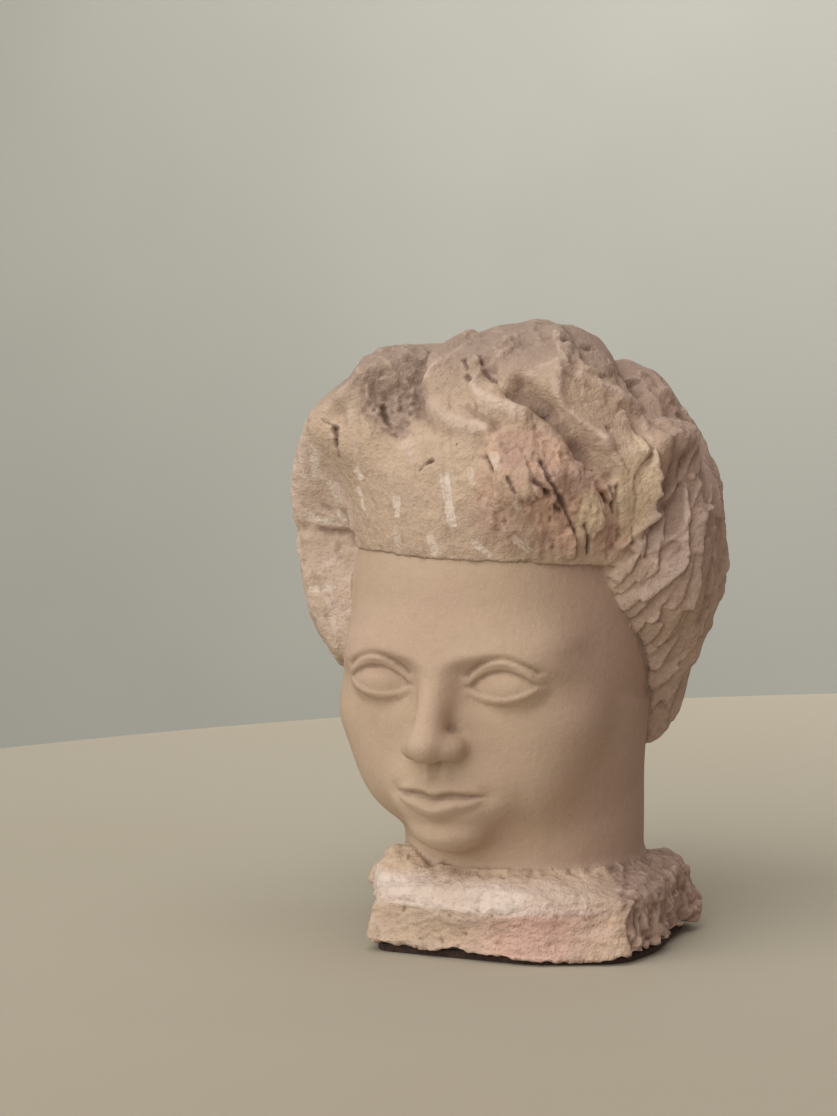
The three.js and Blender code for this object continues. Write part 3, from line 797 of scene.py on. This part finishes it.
# The back and the left side were knocked off with the point, and the right side is broken deeper.
others = on_foot * (1 - front) * (1 - side) * (1 - collar)
relief += facets(others, 13, 31, 0.18, 1.0, 0.3) + facets(others, 6, 33, 0.14) + 0.4 * others * small
height, bruised = cuts(
    round_foot, z, (20, 130, 0, 32), lambda b: (1.25, 1.0), (5, 6), lambda a, b: 78, (13, 5), 8, (0, 0.9)
)
relief += side * (2.6 * (height + LIFT) - 0.8) * (1 - collar)
relief += facets(side, 7, 32, 0.2, 1.3, 0.3) + side * (0.4 * small + 0.4 * middling)

# Pits in the foot: place, half size, depth.
FOOT_PITS = (
    ((60, -38, 10), (3.0, 5.0, 4.0), 3.0), ((70, -12, 14), (2.4, 2.4, 3.0), 2.2),
    ((74, 6, 9), (3.0, 4.0, 5.0), 3.0), ((66, -26, 20), (2.2, 3.0, 2.4), 2.0),
    ((46, -46, 22.5), (2.4, 2.0, 1.3), 1.5), ((53, -41, 20), (1.8, 1.6, 1.3), 1.4),
    ((77, 22, 20), (3.0, 3.0, 2.4), 2.0), ((36, -52, 24), (4.0, 3.0, 2.2), 0.9),
    ((24, -56, 23), (3.0, 2.5, 2.0), 0.7),
)
# Each pit is painted dark inside, as painted shade.
for centre, half, deep in FOOT_PITS:
    hole = on_foot * np.exp(-((((p - centre) / half) ** 2).sum(1)))
    relief -= deep * hole
    pit = np.maximum(pit, 0.8 * hole)
relief += collar * (0.55 * streaks + 0.35 * beads + 0.3 * middling + 0.2 * small)

# The face was rubbed smooth: only a faint unevenness is left, and more of it low on the neck.
relief += on_skin * (0.09 * coarse + 0.05 * middling)
relief += on_skin * ramp(42, 34, z) * (0.35 * middling + 0.22 * small)

outward = averaged(normals(bust), edges, 2)
outward /= length(outward)[:, None]
carved = p + outward * relief[:, None]

# The foot's lower edge hangs a little in the middle of the front and is chipped away at both ends.
edge_gap = np.full(len(p), 99.0)
for facing, out in FOOT_SIDES:
    a = radians(facing)
    edge_gap = np.minimum(edge_gap, out - x * cos(a) - y * sin(a))
in_front = ramp(0.2, 0.45, faces_front)
hang = 1.7 * bell(level - 12, 30) * in_front * ramp(3.2, 1.8, edge_gap) * ramp(9, 3, z)
chip = 1.2 + 1.6 * grain(p, 9, 41) + 1.5 * grain(p, 4, 42) + 2.4 * in_front * ramp(30, 52, level)
chip -= 1.6 * bell(level - 14, 26) * in_front
chip = np.clip(chip, 0, 4.2) * ramp(5.5, 1.5, edge_gap) * ramp(9, 3, z)
flat = (z < UNDERSIDE + 0.4) & (edge_gap > 5.5)
carved[:, 2] = np.where(flat, UNDERSIDE, np.maximum(carved[:, 2], UNDERSIDE) + chip - hang)
write_points(bust, carved)

# Colour follows the cutting: pale bruises on strokes and ridges, and painted shade darkening the hollows.
outward = normals(bust)
fine_hollow = ((averaged(carved, edges, 4) - carved) * outward).sum(1)
broad_hollow = ((averaged(carved, edges, 24) - carved) * outward).sum(1)


def paint(name, values, low=0.0, high=1.0):
    """Keeps a value for each point, for the stone's colours to read."""
    layer = bust.data.attributes.new(name, "FLOAT", "POINT")
    layer.data.foreach_set("value", np.clip(values, low, high).astype(np.float32))


paint("hair", on_hair)
paint("foot", on_foot)
paint("stroke_edge", stroke_edge, -4, 4)
paint("stroke_along", stroke_along, -20, 60)
paint("stroke_white", stroke_white)
paint("pale", np.maximum(pale, cut_pale_and_painted_light))
# Crests are painted lighter, partly bruising and partly a painted highlight.
paint("crest", ramp(0.05, 0.30, -fine_hollow) * (1 - on_skin))
# Hollows are painted darker, as painted shade, except close along the hair's edge against the face.
drawn = bell(from_edge, 2.6) * (x < 60) * (z > 90)
hollow = ramp(0.04, 0.32, fine_hollow) * 0.75 + 0.35 * ramp(0.4, 1.8, broad_hollow)
paint("hollow", hollow * (1 - 0.85 * drawn))
paint("pit", pit)
paint("break", breakage)
# The rough hollow at the top left is darker stone; the hair to the right of the yellow chunk is painted
# darker with it, as painted shade.
paint("rough", np.maximum(rough_top, region(77, 11, 17, 22)))
paint("yellow", yellow)
paint("top", on_hair * np.maximum(ramp(36, 54, lat), ramp(-12, -24, lon) * ramp(26, 40, lat)))
# The right of the hair, face and neck is painted darker and redder, as painted shade.
right_hair_shade = on_hair * ramp(44, 66, lon) * ramp(150, 110, np.abs(lon)) * (1 - 0.4 * ramp(-8, -26, lat))
paint("right", right_hair_shade + 0.9 * on_skin * ramp(15, 60, x))
paint("centre", dressed * bell(level - 2, 24))
# The foot's broken right side, with the right end of the collar, is painted darker, as painted shade.
paint("side", np.maximum(side, 0.35 * collar * ramp(16, 40, level)))
# The collar is painted pale, fading towards the right as painted shade.
paint("collar", collar * (0.25 + 0.75 * ramp(32, 4, level)))

# About half of the facets are merged away, most of them where the stone is rubbed or flat.
KEPT_FACETS = 0.52
fewer = bust.modifiers.new("fewer facets", "DECIMATE")
fewer.ratio = KEPT_FACETS
bpy.ops.object.modifier_apply(modifier=fewer.name)

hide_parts("stone_bust")
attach(bust, "root")


class Wire:
    """A number or colour on its way through a material's nodes."""

    def __init__(self, tree, socket=None):
        self.tree = tree
        self.socket = socket

    def node(self, kind, settings=(), inputs=(), out=0):
        """A new node's output, once its settings and its inputs are set or linked."""
        made = self.tree.nodes.new(kind)
        for key, value in dict(settings).items():
            setattr(made, key, value)
        for key, value in dict(inputs).items():
            if isinstance(value, Wire):
                self.tree.links.new(value.socket, made.inputs[key])
            else:
                made.inputs[key].default_value = value
        return Wire(self.tree, made.outputs[out])

    def _maths(self, operation, a, b):
        return self.node("ShaderNodeMath", {"operation": operation}, {0: a, 1: b})

    def __add__(self, other):
        return self._maths("ADD", self, other)

    def __radd__(self, other):
        return self._maths("ADD", other, self)

    def __sub__(self, other):
        return self._maths("SUBTRACT", self, other)

    def __rsub__(self, other):
        return self._maths("SUBTRACT", other, self)

    def __mul__(self, other):
        return self._maths("MULTIPLY", self, other)

    def __rmul__(self, other):
        return self._maths("MULTIPLY", other, self)

    def __mod__(self, other):
        return self._maths("WRAP", self, other)

    def between(self, low, high):
        """0 below low and 1 above high, with soft ends."""
        smooth = {"interpolation_type": "SMOOTHSTEP"}
        return self.node("ShaderNodeMapRange", smooth, {0: self, 1: low, 2: high})

    def mixed(self, a, b):
        """Colour a where this is 0 and colour b where it is 1."""
        colours = {6: a if isinstance(a, Wire) else (*a, 1), 7: b if isinstance(b, Wire) else (*b, 1)}
        return self.node("ShaderNodeMix", {"data_type": "RGBA"}, {0: self, **colours}, 2)

    def attribute(self, name):
        return self.node("ShaderNodeAttribute", {"attribute_name": name}, (), "Fac")

    def noise(self, place, scale, detail, rough):
        sockets = {"Vector": place, "Scale": scale, "Detail": detail, "Roughness": rough}
        return self.node("ShaderNodeTexNoise", (), sockets)

    def bumps(self, strength, depth):
        """The surface's normal, with this as its height."""
        return self.node("ShaderNodeBump", (), {"Strength": strength, "Distance": depth, "Height": self})

    def into(self, shader, name):
        self.tree.links.new(self.socket, shader.inputs[name])


def new_material(name):
    """A material, its nodes, its shader, and places on the piece for its patterns."""
    made = bpy.data.materials.new(name)
    made.use_nodes = True
    wire = Wire(made.node_tree)
    place = wire.node("ShaderNodeTexCoord", (), (), "Object")
    return made, wire, made.node_tree.nodes["Principled BSDF"], place


# The stone is beige, with pink and yellow clouds, and its top is darker. The right side, hollows and
# pits are painted darker as painted shade, a few pale marks are painted highlights, and bruises and
# strokes are nearly white.
stone, wire, shader, place = new_material("beige carved stone")
cloud = wire.noise(place, 14, 5, 0.6).between(0.35, 0.65)
patch = wire.noise(place, 42, 6, 0.62).between(0.38, 0.64)
mottle = wire.noise(place, 170, 5, 0.6)
speck = wire.noise(place, 900, 3, 0.6)
hair_at, foot_at = wire.attribute("hair"), wire.attribute("foot")
rough_at = (hair_at + foot_at).between(0, 1)
tick_apart = 3.4
ticks = ((wire.attribute("stroke_along") + mottle * 0.8) * (1 / tick_apart)) % 1.0
ragged = wire.noise(place, 380, 3, 0.6)
cut_at = (ragged * 2.6 - 1.2 - wire.attribute("stroke_edge")).between(-0.1, 0.4)
white_at = cut_at * wire.attribute("stroke_white") * hair_at
tick_at = ticks.between(0.0, 0.12) - ticks.between(0.26, 0.42)

colour = cloud.mixed((0.52, 0.39, 0.275), (0.50, 0.36, 0.265))
colour = (hair_at * (0.4 + 0.5 * patch)).mixed(colour, (0.61, 0.46, 0.335))
colour = (rough_at * (1 - cloud) * (1 - patch) * 0.5).mixed(colour, (0.43, 0.31, 0.245))
colour = (wire.attribute("top") * 0.85).mixed(colour, (0.335, 0.245, 0.20))
# Darker in the rough hollow, and painted shade on the hair beyond the yellow chunk.
colour = (wire.attribute("rough") * 0.6).mixed(colour, (0.30, 0.215, 0.18))
# Painted shade: the right side darkened and reddened.
colour = (wire.attribute("right") * 0.65).mixed(colour, (0.39, 0.268, 0.22))
colour = (wire.attribute("break") * (0.35 + 0.5 * patch)).mixed(colour, (0.64, 0.395, 0.28))
colour = (wire.attribute("break") * (1 - patch) * 0.5).mixed(colour, (0.36, 0.21, 0.185))
colour = (wire.attribute("yellow") * (0.55 + 0.4 * patch)).mixed(colour, (0.78, 0.62, 0.44))
colour = (foot_at * (0.3 + 0.6 * patch)).mixed(colour, (0.70, 0.53, 0.39))
colour = (wire.attribute("centre") * (0.35 + 0.6 * cloud)).mixed(colour, (0.74, 0.45, 0.39))
# The pale collar, fading to the right as painted shade.
colour = (wire.attribute("collar") * (0.5 + 0.5 * patch)).mixed(colour, (0.80, 0.68, 0.61))
# Painted shade: the foot's right side darkened.
colour = (wire.attribute("side") * 0.9).mixed(colour, (0.345, 0.235, 0.19))
# Crests lighter, partly a painted highlight.
colour = (wire.attribute("crest") * 0.4).mixed(colour, (0.62, 0.49, 0.39))
# Pale: bruises, ridge tops, painted light at the left temple and a painted highlight along the hair's
# edge.
colour = (wire.attribute("pale") * (0.6 + 0.35 * patch)).mixed(colour, (0.70, 0.55, 0.475))
colour = (white_at * (0.75 + 0.25 * patch)).mixed(colour, (0.77, 0.65, 0.56))
colour = (white_at * tick_at * 0.8).mixed(colour, (0.47, 0.35, 0.26))
# Painted shade: the hollows darkened.
colour = (wire.attribute("hollow") * 0.6).mixed(colour, (0.19, 0.12, 0.09))
# Painted shade: the pits darkened.
colour = (wire.attribute("pit") * 0.75).mixed(colour, (0.14, 0.08, 0.06))
colour = (mottle.between(0.44, 0.68) * (0.12 + 0.20 * rough_at)).mixed(colour, (0.34, 0.245, 0.185))
colour = (speck.between(0.55, 0.75) * 0.25).mixed(colour, (0.72, 0.62, 0.50))
colour = (ragged.between(0.54, 0.70) * rough_at * 0.3).mixed(colour, (0.32, 0.23, 0.175))
colour.into(shader, "Base Color")
grainy = (speck * 0.5 + mottle + ragged * 1.2) * (0.25 + 0.75 * rough_at)
grainy.bumps(0.8, 0.0012).into(shader, "Normal")
shader.inputs["Roughness"].default_value = 0.9
bust.data.materials.clear()
bust.data.materials.append(stone)
bpy.ops.object.shade_smooth()

# The pad under the foot is a piece of dark brown felt, cut to the foot's outline with scissors a
# little inside its edge and glued on, so that the rough stone can't scratch the table. Its near-black
# colour is also painted shade for the gap under the stone's edge.
pad = copy_of("felt_pad", "felt_under_foot")
bpy.ops.mesh.dissolve_limited(angle_limit=radians(1))
bpy.ops.object.mode_set(mode="OBJECT")
worn_edge = pad.modifiers.new("worn edge", "BEVEL")
worn_edge.width = 0.0007
worn_edge.segments = 3
worn_edge.limit_method = "ANGLE"
bpy.ops.object.modifier_apply(modifier=worn_edge.name)
triangles = pad.modifiers.new("triangles", "TRIANGULATE")
bpy.ops.object.modifier_apply(modifier=triangles.name)
felt, wire, shader, place = new_material("dark brown felt")
fibre = wire.noise(place, 2600, 3, 0.7)
tuft = wire.noise(place, 420, 4, 0.6)
# Near black, which also stands in for the shade in the gap under the stone.
colour = tuft.between(0.35, 0.65).mixed((0.030, 0.014, 0.010), (0.060, 0.030, 0.022))
colour = (fibre.between(0.55, 0.75) * 0.5).mixed(colour, (0.11, 0.065, 0.05))
colour.into(shader, "Base Color")
(fibre + tuft).bumps(0.8, 0.0004).into(shader, "Normal")
shader.inputs["Roughness"].default_value = 1.0
shader.inputs["Sheen Weight"].default_value = 0.15
pad.data.materials.clear()
pad.data.materials.append(felt)
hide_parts("felt_pad")
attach(pad, "root")

# The bust stands on a wide round table with a pale matt top, well in front of a grey-green wall.
bpy.ops.object.select_all(action="DESELECT")
TABLE_TOP = 0.03
bpy.ops.mesh.primitive_cylinder_add(
    vertices=360, radius=1.375, depth=TABLE_TOP, location=(0.688, -0.294, -TABLE_TOP / 2)
)
table = bpy.context.object
table.name = "table"
bpy.ops.mesh.primitive_plane_add(size=14, location=(0, 3.2, 2), rotation=(pi / 2, 0, radians(12)))
wall = bpy.context.object
wall.name = "wall"
for obj, near, far in (
    (table, (0.445, 0.396, 0.308), (0.445, 0.407, 0.324)),
    (wall, (0.55, 0.55, 0.48), (0.58, 0.58, 0.505)),
):
    coat, wire, shader, place = new_material(obj.name + " paint")
    colour = wire.noise(place, 1.3, 3, 0.5).between(0.35, 0.65).mixed(near, far)
    colour.into(shader, "Base Color")
    shader.inputs["Roughness"].default_value = 0.9
    obj.data.materials.append(coat)

# Daylight comes from a large window to the left of the camera, with a little from above, a weak
# red-brown glow from the room at the right, and a lamp for the wall and the table's far edge.
scene = bpy.context.scene
scene.view_settings.view_transform = "Standard"
room = bpy.data.worlds.new("soft room")
scene.world = room
room.use_nodes = True
room.node_tree.nodes["Background"].inputs[0].default_value = (1.0, 0.94, 0.90, 1)
room.node_tree.nodes["Background"].inputs[1].default_value = 0.16


def soft_lamp(name, place, aim, size, watts, colour):
    """A square lamp at a place, turned to light what it aims at, and not seen itself."""
    bpy.ops.object.light_add(type="AREA", location=place)
    lamp = bpy.context.object
    lamp.name = name
    lamp.data.size = size
    lamp.data.energy = watts
    lamp.data.color = colour
    lamp.rotation_euler = (Vector(aim) - Vector(place)).to_track_quat("-Z", "Y").to_euler()
    lamp.visible_camera = False


soft_lamp("window", (-0.88, -1.81, 1.40), (0, 0, 0.14), 3.2, 70, (1.0, 0.97, 0.92))
soft_lamp("light on the wall", (0.3, 1.1, 2.2), (0.0, 3.2, 0.9), 1.8, 50, (1.0, 1.0, 1.0))
soft_lamp("warm room", (2.2, -0.7, 0.9), (0, 0, 0.14), 2.0, 4, (1.0, 0.42, 0.38))
soft_lamp("ceiling", (0.3, -0.5, 2.6), (0.3, -0.45, 0), 2.0, 18, (1.0, 0.97, 0.93))

# The camera stands a metre off, a little to the right of the bust's front and level with its hair.
# Its focal length and the picture's height are in pixels.
camera_off, camera_round, camera_up = 0.99, radians(15), 0.2285
focal_length, picture_height = 2200, 1116
bpy.ops.object.camera_add(
    location=(camera_off * sin(camera_round), -camera_off * cos(camera_round), camera_up),
    rotation=(radians(86.49), 0, radians(17.5)),
)
camera = bpy.context.object
camera.data.sensor_fit = "VERTICAL"
camera.data.sensor_width = 36
camera.data.sensor_height = 36
camera.data.lens = focal_length / picture_height * camera.data.sensor_height
scene.camera = camera
